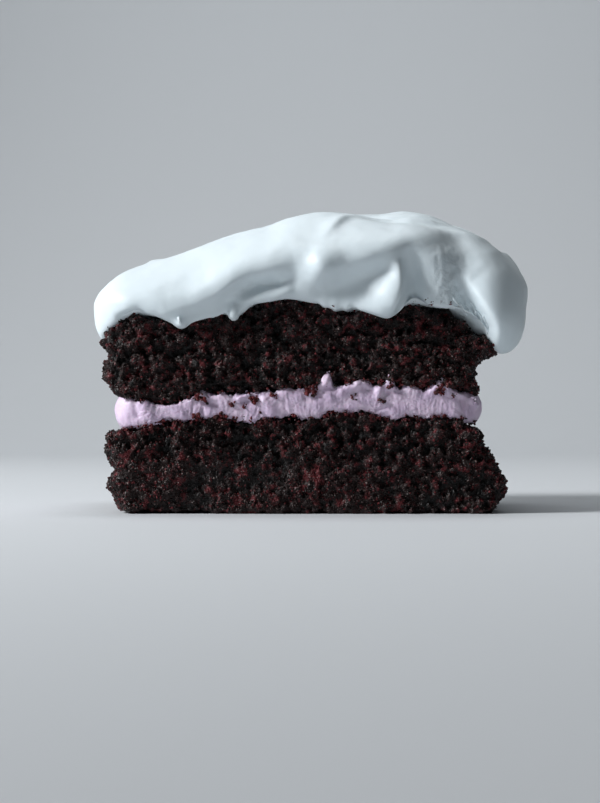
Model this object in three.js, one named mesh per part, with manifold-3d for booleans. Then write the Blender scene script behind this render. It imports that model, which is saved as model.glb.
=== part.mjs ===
// A slice of chocolate layer cake, standing on its base.
//
// Two dark sponge layers have a band of lilac cream between them and a thick
// dollop of white frosting on top, which hangs over the ends of the slice. The
// front and back faces are cut, so they show open crumb. The left and right
// ends are the rounded outer edges of the cake.
//
// Millimetres. X runs along the cut faces, Y from the front face to the back
// face, Z up. The sizes are laid out about the middle of the slice, and the
// finished group is moved so that its origin is the middle of its base.

import * as THREE from "three";
import { ImprovedNoise } from "three/addons/math/ImprovedNoise.js";
import { mergeVertices } from "three/addons/utils/BufferGeometryUtils.js";
import Module from "manifold-3d";

// ---------------------------------------------------------------------------
// Driving dimensions

const SLICE_DEPTH = 55; // between the two cut faces
const HALF_DEPTH = SLICE_DEPTH / 2;
const CLEARANCE = 0.35; // air left between pieces that touch
const SPONGE_COLUMNS = 100; // points round each ring of the sponges and the cream
const FROSTING_COLUMNS = 128; // and round each ring of the frosting; both are even

// A smooth value that changes along one direction, through a few knots, each
// a place and the value there.
function curve(...knots) {
  const slope = (i) => {
    const [a, b] = [knots[Math.max(i - 1, 0)], knots[Math.min(i + 1, knots.length - 1)]];
    return (b[1] - a[1]) / (b[0] - a[0]);
  };
  return (place) => {
    if (place <= knots[0][0]) return knots[0][1];
    if (place >= knots.at(-1)[0]) return knots.at(-1)[1];
    const i = knots.findIndex((knot) => knot[0] > place) - 1;
    const [[start, low], [end, high]] = [knots[i], knots[i + 1]];
    const t = (place - start) / (end - start);
    const ease = (end - start) * t * (1 - t);
    return low + (high - low) * t * t * (3 - 2 * t) + ease * (slope(i) * (1 - t) - slope(i + 1) * t);
  };
}

// The sponge layers: where each end stands, how far it draws in from there at
// each height, and the heights of the layer's bottom and top along X.
const LOWER_SPONGE = {
  left: -50,
  right: 50.1,
  leftInset: curve([0, 2.4], [1.2, 2.2], [3.8, 1.6], [8, 0], [10.7, 1.5], [13.2, 0.4], [20, 0.4]),
  rightInset: curve([0, 1.2], [2.5, 1.4], [5.7, 0], [10.8, 1.6], [13.3, 3], [17, 5.6], [19, 6.4], [21.7, 4.8]),
  bottom: () => 0,
  top: curve([-50, 20], [-40, 22.3], [-27, 23.6], [-2, 23.8], [10, 25.2], [22, 23.6], [38, 24.2], [50, 20.5]),
};
const UPPER_SPONGE = {
  left: -50.8,
  right: 48.4,
  leftInset: curve([28.5, 4.6], [31, 2.4], [34.5, 0.4], [36.8, 0.2], [40, 1.1], [43.2, 0.2], [48, 2]),
  rightInset: curve([31, 5], [35, 5.6], [38.3, 5.4], [40, 2.6], [41.7, 0.2], [44.7, 2.4], [47.7, 6], [50, 9]),
  bottom: curve([-50, 30], [-38, 27.8], [-24, 29.8], [0, 31.8], [14, 32.8], [30, 31.8], [48, 30]),
  top: curve([-50, 50], [-22, 50.8], [-16, 51.6], [-12, 53], [-2, 53.7], [6, 51.8], [14, 51.2], [26, 52.2], [37, 52],
    [42, 49.5], [49, 46]),
};
const END_LENGTH = 14; // of the stretch at each end that draws in
const SPONGE_CORNER = 5; // radius of a layer's upright corners
const SPONGE_RIM = 2; // radius along its top and bottom edges
const CRUMB_RELIEF = 1.1; // how far the open crumb stands out or falls in
const CRUMB_SIZE = 6.5; // from one coarse crumb to the next

// The cream band between the sponges.
const CREAM = { left: -46.6, right: 43, corner: 7 };
const CREAM_BULGE = 1.6; // past its outline at the two ends
const CREAM_RECESS = 0.6; // behind the two cut faces
const CREAM_OVERFILL = 1.6; // up and down into the sponges' rounded rims

// The frosting: its outline, then the heights of its hem and of its widest
// line, how far the front stands out there, and the height of its crest, all
// along X. The hems of the two ends are along Y.
const FROSTING = { left: -50.5, right: 49.5, corner: 10 };
const FRONT_HEM = curve([-50, 49.4], [-35, 48.8], [-31, 47.4], [-22, 49], [-16, 50], [-13, 52.5], [-2, 53.4],
  [8, 50.6], [19, 50.6], [28, 52], [38, 51.4], [44, 47.5], [49, 43]);
const BACK_HEM = curve([-50, 48.5], [-36, 50.6], [-25, 47.6], [-12, 51.6], [2, 48.4], [15, 50.8], [28, 46.8],
  [38, 49.6], [49, 44]);
const LEFT_HEM = curve([-28, 45.2], [-19, 44], [-8, 42.6], [2, 45.8], [12, 43.2], [28, 47.5]);
const RIGHT_HEM = curve([-28, 41.4], [-14, 41.2], [-6, 42.2], [3, 45], [13, 41.4], [28, 46]);
const FRONT_WIDEST = curve([-52, 52.6], [-42, 52.4], [-33, 52.6], [-23, 54.6], [-18, 57.2], [-14, 59.2],
  [-8, 60.8], [-3, 61.4], [2, 60], [8, 61.2], [13, 63], [20, 64.6], [28, 65], [36, 62], [45, 57], [52, 54]);
const BACK_WIDEST = curve([-52, 55], [-30, 57], [-10, 60.5], [12, 58], [30, 61], [52, 55]);
const FRONT_REACH = curve([-50, 2.6], [-30, 3.2], [0, 3.8], [20, 4.6], [27, 3.2], [34, 1.8], [40, 1], [46, 3],
  [50, 5]);
const CREST = curve([-56, 59.4], [-49, 63.3], [-41, 64.4], [-34, 66.3], [-28, 68.4], [-15, 72.4], [-9, 74],
  [-5, 75.8], [1, 77.3], [9, 77.5], [14, 77.3], [20, 77], [27, 77.4], [32, 76.7], [38, 74.6], [45, 72.8],
  [53, 69.4], [59, 65.4]);
const CREST_FALL = { front: 2.5, back: 5 }; // from the crest to the shoulders
const SHOULDER = 14; // from the sponge's face in to where the top levels out
const NARROWEST = 2.1; // a stroke is drawn no narrower than the skin's own facets

// Strokes of the palette knife, which raise the frosting or hollow it. Each is
// a path of knots: a place on its side, how far it pushes the skin out there,
// and how wide it is to its left and to its right. A place is an X and a Z at
// the front or back, an X and a Y on top, and a Y and a Z at an end.
const STROKES = {
  front: [
    // the roll at the upper left, which ends in an edge over the hollow under it
    [
      [-34, 51, 1, 6, 2], [-28, 52.4, 1.5, 6, 2], [-22.9, 54.6, 2, 6, 2.2], [-18.5, 57.8, 2.2, 6, 2.2],
      [-14, 60, 1.9, 6, 2.6], [-8, 61.8, 1.6, 6, 3], [-3, 63.4, 0.8, 6, 3],
    ],
    [
      [-31, 50, -0.3, 1.6, 1.8], [-26, 50.6, -0.7, 2.4, 2.6], [-21, 51.6, -1, 2.8, 2.8], [-17, 53.8, -1.2, 2.8, 2.2],
      [-13, 56, -1.9, 2.8, 1.8], [-7, 57.2, -1.8, 2.8, 1.8], [-4, 58.2, -1, 2.4, 2],
    ],
    // the lip over the hem
    [[-15.5, 53.4, 0.8, 1.6, 1.4], [-12, 53.9, 1.5, 1.7, 1.4], [-8, 54.6, 1.7, 1.7, 1.4], [-5, 55.4, 0.9, 1.6, 1.4]],
    // a notch in the hem, and two drips at the left
    [[-46, 49.4, -0.8, 0.9, 1.6], [-41.8, 50.1, -1.5, 1.5, 2]],
    [[-31.2, 49.2, 0.2, 1.6, 1.6], [-30.9, 47.6, 1, 1.3, 1.2]],
    [[-17.6, 52.4, 0.2, 1.8, 1.3], [-18.2, 49.8, 1.2, 1.5, 1.2]],
    // the knob in the middle, and the hollow right of it
    [[5, 66.5, 1.2, 6, 5.4], [3.4, 62.8, 2.6, 5, 5], [2.8, 61, 2.8, 4, 4]],
    [[5, 55.2, -1.2, 2.4, 4], [9, 56.2, -2.1, 3.8, 5], [14, 57.8, -2.1, 3.6, 4.4], [18.8, 60, -1.2, 2.6, 2.2]],
    // the roll over the hollow
    [
      [5, 61.4, 0.8, 5, 3], [12.8, 63.8, 1.3, 5, 3.4], [20, 65.8, 1.2, 5, 3.4],
      [28, 68.5, 0.8, 5, 3.4], [34, 71, 0.5, 4, 3],
    ],
    // the tongue, steep at its right, and the valley beside it
    [
      [22.9, 60.8, 1.6, 1.2, 1.8], [22.8, 57.5, 3, 1.3, 3.6],
      [21.8, 53.6, 3.6, 1.5, 5.2], [20.5, 51.8, 2.8, 1.8, 5.5],
    ],
    [[25.6, 64, -1, 2.2, 2.2], [26.4, 59, -2.4, 2.6, 2.4], [27, 53, -2.4, 2.8, 2.6]],
    // a rough swelling, and the curl at the corner
    [[32.6, 63, 0.9, 3.6, 4], [34.4, 54, 1, 3.6, 4]],
    [[38, 56, -0.8, 2, 2], [41.5, 51.5, -1.6, 2, 2], [45, 46.5, -1.4, 1.8, 1.8]],
    [[41, 57.6, 0.9, 4, 1.3], [44, 53, 2.6, 6, 1.4], [46.8, 48, 3.2, 7, 1.5], [48.6, 43, 2.2, 7, 1.5]],
    // a fold that runs up over the shoulder
    [[5.4, 70, 0.3, 2.2, 1.4], [7, 72.4, 0.8, 2.6, 1.4], [9, 74.2, 0.9, 2.6, 1.4], [10.5, 75.5, 0.4, 2.2, 1.4]],
  ],
  top: [
    // the crease before the peak, and the peak
    [[12, -16, -0.5, 4, 4], [20, -17, -2.2, 3, 6], [32, -17, -2.2, 3, 6], [40, -15, -0.6, 4, 4]],
    [[12, -9, -0.5, 1.8, 2], [18, -11.5, -1.2, 2, 2], [31, -12, -1.2, 2, 2], [37, -11, -0.3, 2, 2]],
    [[13, -2, 0.2, 3, 3], [27, -4, 0.7, 3.2, 3.2], [35, -6, 0.2, 3, 3]],
    // long sweeps of the knife behind it, each with a steep side
    [[-38, 0, 0.3, 5, 2], [-26, 4, 1.6, 5, 1.7], [-10, 7, 2.2, 5, 1.6], [6, 12, 2, 5, 1.6], [17, 19, 0.6, 4, 2]],
    [[-34, 15, -0.8, 2, 4], [-22, 17, -2.4, 1.8, 5], [-8, 20, -2.2, 1.8, 5], [6, 22, -0.8, 2, 4]],
    [[4, 3, -0.3, 2, 3], [14, 5, -1.2, 1.8, 4], [25, 10, -2, 1.8, 4.5], [33, 18, -1.2, 2, 4]],
    [[20, 6, 0.4, 3, 2], [31, 9, 1.6, 4, 1.6], [41, 6, 2, 4, 1.6], [47, -2, 1.4, 4, 1.6], [46, -11, 0.4, 3, 2]],
    [[-45, -12, 0.2, 1.6, 3], [-41, -2, 1, 1.6, 4], [-42, 9, 1.6, 1.6, 4], [-35, 18, 1, 1.8, 4]],
  ],
  back: [
    // two long folds, then three lobes and the hollows between them
    [
      [-44, 56, 0.6, 1.8, 5], [-34, 58, 1.8, 1.6, 6], [-22, 61, 2.2, 1.7, 6],
      [-10, 64, 1.6, 2, 6], [0, 66, 0.5, 3, 5],
    ],
    [[8, 65, 0.5, 2, 5], [20, 66, 1.6, 1.8, 5], [32, 65, 1.8, 1.8, 5], [42, 61, 0.8, 2, 4]],
    [[-34, 54, 2, 4, 3], [-26, 50, 2.6, 4, 3]],
    [[0, 60, 2, 5, 2.4], [3, 50, 3, 5, 2.4]],
    [[26, 62, 2, 5.5, 3], [28, 49, 3.2, 5.5, 3]],
    [[-14, 56, -2.4, 4.5, 4.5], [-11, 61, -2, 4.5, 4.5]],
    [[15, 55, -2.4, 4, 4], [16, 62, -2, 4, 4]],
  ],
  right: [
    // lobes, the hollow between them, and the fold over them
    [[-8, 60, 1, 5, 4], [-6, 46, 1.6, 5, 4]],
    [[10, 62, 1, 4, 6], [14, 47, 1.8, 4, 6]],
    [[2, 54, -1.4, 3.5, 3.5], [2, 46, -1.4, 3.5, 3.5]],
    [[-16, 63, 0.5, 3, 5], [-6, 65, 1.8, 1.8, 6], [6, 63, 2, 1.7, 6], [16, 59, 0.8, 1.8, 5]],
  ],
  left: [
    // a lobe, the hollow beside it, and the fold over them
    [[6, 56, 1, 5, 4], [9, 47, 1.6, 5, 4]],
    [[-8, 52, -1.2, 4, 4], [-7, 47, -1, 3.5, 3.5]],
    [[-15, 56, 0.4, 1.8, 4], [-5, 57.6, 1.4, 1.6, 4], [7, 57, 1.5, 1.6, 4], [17, 54, 0.6, 2, 4]],
  ],
};

// ---------------------------------------------------------------------------
// Rings and the closed bodies made from them

// Evenly spaced points round an upright rounded rectangle as deep as the
// slice, with their outward directions. The ring starts at the middle of the
// right end and runs towards the back, so point i is opposite columns - i.
function outline({ left, right, corner }, columns) {
  const [near, far] = [left + corner, right - corner];
  const inner = HALF_DEPTH - corner;
  const shape = new THREE.Shape();
  shape.moveTo(right, 0);
  shape.lineTo(right, inner);
  shape.absarc(far, inner, corner, 0, Math.PI / 2);
  shape.absarc(near, inner, corner, Math.PI / 2, Math.PI);
  shape.absarc(near, -inner, corner, Math.PI, Math.PI * 1.5);
  shape.absarc(far, -inner, corner, Math.PI * 1.5, Math.PI * 2);
  shape.closePath();
  return Array.from({ length: columns }, (_, i) => {
    const point = shape.getPoint(i / columns);
    const along = shape.getTangent(i / columns);
    return { x: point.x, y: point.y, out: new THREE.Vector2(along.y, -along.x) };
  });
}

// The value for a direction of facing, blended from those of the four sides.
function bySide(out, { front, back, left, right }) {
  return out.x * out.x * (out.x > 0 ? right : left) + out.y * out.y * (out.y > 0 ? back : front);
}

// An outline's point moved outwards, or by a negative distance towards the
// spine that runs down the middle of the slice.
function shifted({ x, y, out }, distance, { left, right }) {
  if (distance >= 0) return [x + out.x * distance, y + out.y * distance];
  const spine = THREE.MathUtils.clamp(x, left + HALF_DEPTH, right - HALF_DEPTH);
  const share = -distance / HALF_DEPTH;
  return [x + (spine - x) * share, y - y * share];
}

// The closed body whose skin runs through these rings, from its underside to
// its top. Rungs between opposite points close the first and the last ring.
function bodyFromRings(rings) {
  const index = [];
  const columns = rings[0].length;
  for (let ring = 0; ring + 1 < rings.length; ring++)
    for (let i = 0; i < columns; i++) {
      const [a, b] = [ring * columns + i, ring * columns + ((i + 1) % columns)];
      index.push(a, b, b + columns, a, b + columns, a + columns);
    }
  const close = (start, order) => {
    for (let i = 0; i < columns / 2; i++) {
      const near = [start + i, start + i + 1];
      const far = [start + ((columns - i) % columns), start + columns - i - 1];
      const rungs = [[near[0], near[1], far[0]], [near[1], far[1], far[0]]];
      for (const corners of rungs)
        if (new Set(corners).size === 3) index.push(...order.map((corner) => corners[corner]));
    }
  };
  close(0, [0, 2, 1]);
  close((rings.length - 1) * columns, [0, 1, 2]);
  const geometry = new THREE.BufferGeometry();
  geometry.setAttribute("position", new THREE.Float32BufferAttribute(rings.flat(2), 3));
  return geometry.setIndex(index);
}

// A skin's points, each with the way it faces.
function skinOf(geometry) {
  geometry.computeVertexNormals();
  const { position, normal } = geometry.attributes;
  return Array.from({ length: position.count }, (_, i) => ({
    point: new THREE.Vector3().fromBufferAttribute(position, i),
    out: new THREE.Vector3().fromBufferAttribute(normal, i),
  }));
}

// A skin with each point moved along its normal by the push at that point.
function pushed(geometry, push) {
  skinOf(geometry).forEach(({ point, out }, i) => {
    const there = point.clone().addScaledVector(out, push(point, out));
    geometry.attributes.position.setXYZ(i, ...there);
  });
  return geometry;
}

// ---------------------------------------------------------------------------
// Solids that can be cut

const wasm = await Module();
wasm.setup();

function solid(geometry) {
  const { index, attributes } = mergeVertices(geometry, 1e-4);
  return new wasm.Manifold(
    new wasm.Mesh({ numProp: 3, vertProperties: attributes.position.array, triVerts: new Uint32Array(index.array) }),
  );
}

// What is left of a geometry after others are cut out of it.
function cut(geometry, ...others) {
  const left = others.reduce((body, other) => body.subtract(solid(other)), solid(geometry));
  const mesh = left.getMesh();
  const made = new THREE.BufferGeometry();
  made.setAttribute("position", new THREE.BufferAttribute(mesh.vertProperties, 3));
  return made.setIndex(new THREE.BufferAttribute(mesh.triVerts, 1));
}

// ---------------------------------------------------------------------------
// Sponge layers

const noise = new ImprovedNoise();

// How far the crumb stands out of a face at a point.
function crumb(x, y, z) {
  const layer = (size, offset) => noise.noise(x / size, y / size + offset, z / size + offset);
  return CRUMB_RELIEF * (layer(CRUMB_SIZE, 7) + 0.5 * layer(CRUMB_SIZE / 1.7, 3));
}

// The rows of a sponge layer's skin: the inset from its wall, the height above
// its bottom or below its top, and the share of the way from one to the other.
const RIM_ROWS = [[2.2, 0], [0.9, 0.1], [0.25, 0.4]].map(([inset, rise]) => ({
  inset: inset * SPONGE_RIM,
  rise: rise * SPONGE_RIM,
}));
const WALL_ROWS = 7;
const SPONGE_ROWS = [
  ...RIM_ROWS.map((row) => ({ ...row, share: 0 })),
  ...Array.from({ length: WALL_ROWS }, (_, i) => ({ inset: 0, rise: SPONGE_RIM, share: i / (WALL_ROWS - 1) })),
  ...RIM_ROWS.toReversed().map((row) => ({ ...row, share: 1 })),
];

function spongeGeometry(layer) {
  const wall = outline({ ...layer, corner: SPONGE_CORNER }, SPONGE_COLUMNS);
  const place = (point, { inset, rise, share }) => {
    const z = THREE.MathUtils.lerp(layer.bottom(point.x) + rise, layer.top(point.x) - rise, share);
    const atLeft = THREE.MathUtils.smoothstep(-point.x, -layer.left - END_LENGTH, -layer.left);
    const atRight = THREE.MathUtils.smoothstep(point.x, layer.right - END_LENGTH, layer.right);
    const relief = crumb(point.x, point.y, z) * (inset ? 0.4 : 1);
    const [x, y] = shifted(point, -inset, layer);
    return [
      x + point.out.x * relief + layer.leftInset(z) * atLeft - layer.rightInset(z) * atRight,
      y + point.out.y * relief,
      z,
    ];
  };
  return bodyFromRings(SPONGE_ROWS.map((row) => wall.map((point) => place(point, row))));
}

// ---------------------------------------------------------------------------
// Cream between the layers

// A soft band, squeezed out a little at the ends, that fills the space between
// the two sponges once they are cut out of it.
function creamGeometry() {
  const wall = outline(CREAM, SPONGE_COLUMNS);
  const ROWS = 5;
  const place = (point, share) => {
    const swell = Math.sin(Math.PI * share);
    const bulge = bySide(point.out, {
      front: -CREAM_RECESS,
      back: -CREAM_RECESS,
      left: CREAM_BULGE * swell,
      right: CREAM_BULGE * swell,
    });
    const low = LOWER_SPONGE.top(point.x) - CREAM_OVERFILL;
    const high = UPPER_SPONGE.bottom(point.x) + CREAM_OVERFILL;
    return [...shifted(point, bulge, CREAM), THREE.MathUtils.lerp(low, high, share)];
  };
  return bodyFromRings(
    Array.from({ length: ROWS }, (_, row) => wall.map((point) => place(point, row / (ROWS - 1)))),
  );
}

// ---------------------------------------------------------------------------
// Frosting

const SIDE_ROWS = 4; // from the hem up to the widest line
const SHOULDER_ROWS = 7; // from there over to the top
const TOP_ROWS = 4; // from there in to the spine

// The frosting's skin before the palette knife: in under the hem, up to the
// widest line, over the shoulder and across the top.
function dollopGeometry() {
  const wall = outline(FROSTING, FROSTING_COLUMNS);
  const hem = ({ x, y, out }) => bySide(out, { front: FRONT_HEM(x), back: BACK_HEM(x), left: LEFT_HEM(y), right: RIGHT_HEM(y) });
  const widest = ({ x, out }) => bySide(out, { front: FRONT_WIDEST(x), back: BACK_WIDEST(x), left: 52.4, right: 56 });
  const reach = ({ x, out }) => bySide(out, { front: FRONT_REACH(x), back: 3.4, left: 3.6, right: 7 });
  const lip = ({ out }) => bySide(out, { front: 1.2, back: 1.2, left: 1, right: 1 });
  const top = (x, y) => CREST(x) - (y < 0 ? CREST_FALL.front : CREST_FALL.back) * (y / HALF_DEPTH) ** 2;
  const at = (point, distance, height) => {
    const [x, y] = shifted(point, distance, FROSTING);
    return [x, y, height(x, y)];
  };
  const under = [[-6, -1.2], [-1, -0.4]].map(
    ([distance, drop]) => (point) => at(point, distance, () => hem(point) + drop),
  );
  const side = Array.from({ length: SIDE_ROWS }, (_, i) => (point) => {
    const turn = (i / SIDE_ROWS) * (Math.PI / 2);
    const distance = THREE.MathUtils.lerp(lip(point), reach(point), Math.sin(turn));
    return at(point, distance, () => THREE.MathUtils.lerp(hem(point), widest(point), 1 - Math.cos(turn)));
  });
  const shoulder = Array.from({ length: SHOULDER_ROWS + 1 }, (_, i) => (point) => {
    const turn = (i / SHOULDER_ROWS) * (Math.PI / 2);
    const distance = reach(point) - (reach(point) + SHOULDER) * (1 - Math.cos(turn));
    return at(point, distance, (x, y) => THREE.MathUtils.lerp(widest(point), top(x, y), Math.sin(turn)));
  });
  const across = Array.from({ length: TOP_ROWS }, (_, i) => (point) => {
    const inwards = SHOULDER + ((HALF_DEPTH - SHOULDER) * (i + 1)) / (TOP_ROWS + 1);
    return at(point, -inwards, top);
  });
  return bodyFromRings([...under, ...side, ...shoulder, ...across].map((row) => wall.map(row)));
}

// The two axes that a side's places are in, and which points belong to it.
const SIDES = {
  front: { axes: ["x", "z"], belongs: (point) => point.y < -14 },
  back: { axes: ["x", "z"], belongs: (point) => point.y > 14 },
  top: { axes: ["x", "y"], belongs: (point) => point.z > 60 },
  right: { axes: ["y", "z"], belongs: (point) => point.x > 44 },
  left: { axes: ["y", "z"], belongs: (point) => point.x < -44 },
};

// A knot's place on a skin: the nearest point of its side, slid to the place.
function spotOn(skin, { axes: [across, up], belongs }, [a, b]) {
  const away = ({ point }) => Math.hypot(point[across] - a, point[up] - b);
  const near = skin.filter(({ point }) => belongs(point)).reduce((best, next) => (away(next) < away(best) ? next : best));
  return Object.assign(near.point.clone(), { [across]: a, [up]: b });
}

// The pushes of all the strokes on a skin, as one function of a point of it and
// the way it faces there.
function knifeOn(skin) {
  const strokes = Object.entries(STROKES).flatMap(([side, paths]) =>
    paths.map((knots) => knots.map((knot) => ({ spot: spotOn(skin, SIDES[side], knot), knot }))),
  );
  const pushOf = (point, out, [start, end]) => {
    const along = end.spot.clone().sub(start.spot);
    const share = THREE.MathUtils.clamp(point.clone().sub(start.spot).dot(along) / along.lengthSq(), 0, 1);
    const away = point.clone().sub(start.spot).addScaledVector(along, -share);
    const depth = away.dot(out);
    away.addScaledVector(out, -depth);
    const distance = Math.max(away.length(), 1e-6);
    const leftward = away.dot(out.clone().cross(along)) / distance / along.length();
    const [height, left, right] = [2, 3, 4].map((i) => THREE.MathUtils.lerp(start.knot[i], end.knot[i], share));
    const width = Math.max(THREE.MathUtils.lerp(right, left, (leftward + 1) / 2), NARROWEST);
    return height * Math.exp(-((distance / width) ** 2) - (depth / 8) ** 2);
  };
  return (point, out) =>
    strokes.reduce((sum, stroke) => {
      const pushes = stroke.slice(1).map((end, i) => pushOf(point, out, [stroke[i], end]));
      return sum + pushes.reduce((most, push) => (Math.abs(push) > Math.abs(most) ? push : most));
    }, 0);
}

// ---------------------------------------------------------------------------
// The slice

function piece(name, geometry, color, roughness) {
  geometry.computeVertexNormals();
  const mesh = new THREE.Mesh(geometry, new THREE.MeshStandardMaterial({ color, roughness, metalness: 0 }));
  mesh.name = name;
  return mesh;
}

// the space round each sponge that its neighbours keep clear of
const lowerSpace = pushed(spongeGeometry(LOWER_SPONGE), () => CLEARANCE);
const upperSpace = pushed(spongeGeometry(UPPER_SPONGE), () => CLEARANCE);

const dollop = dollopGeometry();
const knife = knifeOn(skinOf(dollop));

const slice = new THREE.Group();
slice.add(
  piece("sponge_lower", spongeGeometry(LOWER_SPONGE), 0x33211e, 0.9),
  piece("lilac_cream", cut(creamGeometry(), lowerSpace, upperSpace), 0xdfd0e2, 0.6),
  piece("sponge_upper", spongeGeometry(UPPER_SPONGE), 0x33211e, 0.9),
  piece("frosting", cut(pushed(dollop, knife), upperSpace), 0xeff3f4, 0.45),
);

const middle = new THREE.Box3().setFromObject(slice, true).getCenter(new THREE.Vector3());
slice.position.set(-middle.x, -middle.y, 0);

export default slice;
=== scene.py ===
"""A slice of chocolate cake: two layers of dark sponge, lilac cream between them, white frosting on top."""

import math

import bpy
import numpy as np
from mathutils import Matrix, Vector


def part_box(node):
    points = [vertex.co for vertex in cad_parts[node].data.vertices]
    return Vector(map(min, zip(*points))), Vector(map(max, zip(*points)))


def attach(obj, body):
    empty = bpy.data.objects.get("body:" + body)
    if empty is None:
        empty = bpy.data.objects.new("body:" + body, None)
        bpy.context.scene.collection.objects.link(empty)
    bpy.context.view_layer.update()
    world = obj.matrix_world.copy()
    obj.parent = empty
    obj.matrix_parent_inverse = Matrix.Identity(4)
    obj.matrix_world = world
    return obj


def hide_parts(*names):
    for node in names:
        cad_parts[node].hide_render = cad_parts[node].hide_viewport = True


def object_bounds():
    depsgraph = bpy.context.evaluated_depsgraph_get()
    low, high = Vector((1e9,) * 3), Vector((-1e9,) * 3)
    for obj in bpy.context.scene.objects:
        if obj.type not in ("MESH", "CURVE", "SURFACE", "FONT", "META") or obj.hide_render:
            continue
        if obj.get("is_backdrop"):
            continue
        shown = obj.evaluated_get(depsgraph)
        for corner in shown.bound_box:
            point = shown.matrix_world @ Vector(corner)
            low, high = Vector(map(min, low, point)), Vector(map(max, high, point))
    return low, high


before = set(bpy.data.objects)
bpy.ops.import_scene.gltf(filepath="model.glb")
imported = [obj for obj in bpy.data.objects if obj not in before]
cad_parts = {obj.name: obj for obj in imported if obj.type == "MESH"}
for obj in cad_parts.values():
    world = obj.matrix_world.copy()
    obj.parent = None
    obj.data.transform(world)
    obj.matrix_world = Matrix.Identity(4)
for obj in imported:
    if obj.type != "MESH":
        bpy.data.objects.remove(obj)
cad_lowest, cad_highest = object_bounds()

# ----------------------------------------------------------------------------
# Sponge
#
# Two layers of moist dark chocolate sponge. Their cut faces and torn edges are
# open crumb: a fine skin with clumps, grains and pores pushed into it, and
# loose grains scattered over it.

MM = 0.001
HALF_DEPTH = 27.5
# Sizes are in millimetres about the middle of the slice, at the level it
# stands on, and the lower sponge's solid says where that is.
low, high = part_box("sponge_lower")
MIDDLE = np.array([(low.x + high.x) / 2, (low.y + high.y) / 2, 0.0])
SMOOTH = {"interpolation_type": "SMOOTHSTEP"}  # for a range that eases in and out


def fill(node, inputs):
    """Links a node's inputs, in order or by name, to sockets, or sets them to values."""
    for key, value in inputs.items() if isinstance(inputs, dict) else enumerate(inputs):
        if isinstance(value, bpy.types.NodeSocket):
            node.id_data.links.new(value, node.inputs[key])
        else:
            node.inputs[key].default_value = value


def add(tree, kind, inputs=(), out=0, **settings):
    """One output of a new node with these inputs and settings."""
    node = tree.nodes.new(kind)
    for name, value in settings.items():
        setattr(node, name, value)
    fill(node, inputs)
    return node.outputs[out]


def shade(code):
    """The linear colour of an sRGB code such as #E9EFF2."""
    parts = [int(code[i : i + 2], 16) / 255 for i in (1, 3, 5)]
    return (*[c / 12.92 if c <= 0.04045 else ((c + 0.055) / 1.055) ** 2.4 for c in parts], 1.0)


def material(name):
    """A new material, its tree, its shader and the place on the piece, in metres."""
    made = bpy.data.materials.new(name)
    made.use_nodes = True
    tree = made.node_tree
    return made, tree, tree.nodes["Principled BSDF"], add(tree, "ShaderNodeTexCoord", out="Object")


chocolate, tree, shader, place = material("chocolate_sponge")
# moist cocoa crumb: nearly black, reddish where it is thin, with small wet glints, and near-black painted
# shade in its hollows
# here and below, a pattern's scale is how many of its features go to a millimetre
pore = add(tree, "ShaderNodeAttribute", attribute_name="pore", out="Fac")
tone = add(tree, "ShaderNodeAttribute", attribute_name="tone", out="Fac")
patches = add(tree, "ShaderNodeTexNoise", {"Vector": place, "Scale": 0.42 / MM, "Detail": 4.0})
specks = add(tree, "ShaderNodeTexNoise", {"Vector": place, "Scale": 2.4 / MM, "Detail": 2.0})
thin = add(tree, "ShaderNodeMapRange", [patches, 0.53, 0.68, 0.0, 0.9], **SMOOTH)
red_grain = add(tree, "ShaderNodeMapRange", [tone, 0.6, 0.9], **SMOOTH)
redness = add(tree, "ShaderNodeMath", [thin, red_grain], operation="MAXIMUM")
# the palest grains are coloured pale grey as painted glints
painted_glint_grain = add(tree, "ShaderNodeMapRange", [tone, -0.5, -0.8], **SMOOTH)
colour = shade("#1E0C0A")
# the near-black over the hollows is painted shade, not the crumb's own colour
for share, other in ((redness, "#6A262A"), (painted_glint_grain, "#94807C"), (pore, "#040202")):
    colour = add(tree, "ShaderNodeMix", {0: share, 6: colour, 7: shade(other)}, out=2, data_type="RGBA")
roughness = add(tree, "ShaderNodeMapRange", [specks, 0.42, 0.6, 0.7, 0.16], **SMOOTH)
bump = add(tree, "ShaderNodeBump", {"Height": specks, "Strength": 1.0, "Distance": 0.4 * MM})
fill(shader, {"Base Color": colour, "Roughness": roughness, "Specular IOR Level": 0.35, "Normal": bump})


def new_tree(name, inputs):
    """A Geometry Nodes tree with a geometry and these named inputs, and the sockets at its two ends."""
    kinds = {float: "NodeSocketFloat", int: "NodeSocketInt", bpy.types.Material: "NodeSocketMaterial"}
    tree = bpy.data.node_groups.new(name, "GeometryNodeTree")
    tree.interface.new_socket("Geometry", in_out="INPUT", socket_type="NodeSocketGeometry")
    for label, value in inputs.items():
        socket = tree.interface.new_socket(label, in_out="INPUT", socket_type=kinds[type(value)])
        socket.default_value = value
    tree.interface.new_socket("Geometry", in_out="OUTPUT", socket_type="NodeSocketGeometry")
    return tree, tree.nodes.new("NodeGroupInput").outputs, tree.nodes.new("NodeGroupOutput").inputs


def grown(piece, tree, values):
    """The piece that a Geometry Nodes tree makes of this one, with these inputs, as a plain mesh."""
    growth = piece.modifiers.new(tree.name, "NODES")
    growth.node_group = tree
    for item in tree.interface.items_tree:
        if item.item_type == "SOCKET" and item.name in values:
            growth[item.identifier] = values[item.name]
    seen = bpy.context.evaluated_depsgraph_get()
    result = piece.evaluated_get(seen)
    mesh = bpy.data.meshes.new_from_object(result, preserve_all_data_layers=True, depsgraph=seen)
    piece.modifiers.remove(growth)
    piece.data = mesh
    return piece


def lifted(tree, lift):
    """How each point of a skin moves when it is lifted straight out by this much."""
    out = add(tree, "GeometryNodeInputNormal")
    return add(tree, "ShaderNodeVectorMath", {0: out, "Scale": lift}, operation="SCALE")


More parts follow.
